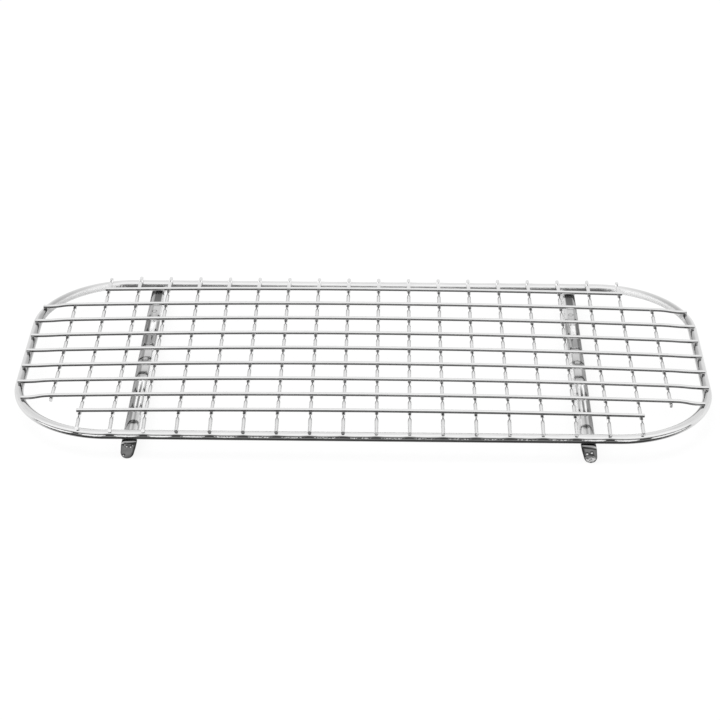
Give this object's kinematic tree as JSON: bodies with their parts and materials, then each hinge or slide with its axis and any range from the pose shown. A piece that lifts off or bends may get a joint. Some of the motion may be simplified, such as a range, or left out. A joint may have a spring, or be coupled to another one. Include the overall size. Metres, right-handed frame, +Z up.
{
  "type": "footed wire cooling rack",
  "caption": "Footed wire cooling rack: a round-rod rim carries a welded square mesh on folded leg straps with round feet.",
  "frame": {"origin": "middle of the footprint, on the plane that the four feet stand on", "axes": "+X along the rack's long side, +Y towards the back, +Z up"},
  "size_m": [0.2708, 0.1286, 0.0156],
  "materials": {
    "rim_rod": "bright plated, polished rod",
    "mesh_wire": "bright plated, drawn wire",
    "strap": "bright plated, polished sheet"
  },
  "bodies": {
    "root": {"rim": "rim_rod", "long_wire_01": "mesh_wire", "long_wire_02": "mesh_wire", "long_wire_03": "mesh_wire", "long_wire_04": "mesh_wire", "long_wire_05": "mesh_wire", "long_wire_06": "mesh_wire", "long_wire_07": "mesh_wire", "long_wire_08": "mesh_wire", "long_wire_09": "mesh_wire", "cross_wire_01": "mesh_wire", "cross_wire_02": "mesh_wire", "cross_wire_03": "mesh_wire", "cross_wire_04": "mesh_wire", "cross_wire_05": "mesh_wire", "cross_wire_06": "mesh_wire", "cross_wire_07": "mesh_wire", "cross_wire_08": "mesh_wire", "cross_wire_09": "mesh_wire", "cross_wire_10": "mesh_wire", "cross_wire_11": "mesh_wire", "cross_wire_12": "mesh_wire", "cross_wire_13": "mesh_wire", "cross_wire_14": "mesh_wire", "cross_wire_15": "mesh_wire", "cross_wire_16": "mesh_wire", "cross_wire_17": "mesh_wire", "cross_wire_18": "mesh_wire", "cross_wire_19": "mesh_wire", "cross_wire_20": "mesh_wire", "leg_strap_left": "strap", "leg_strap_right": "strap"}
  },
  "joints": []
}
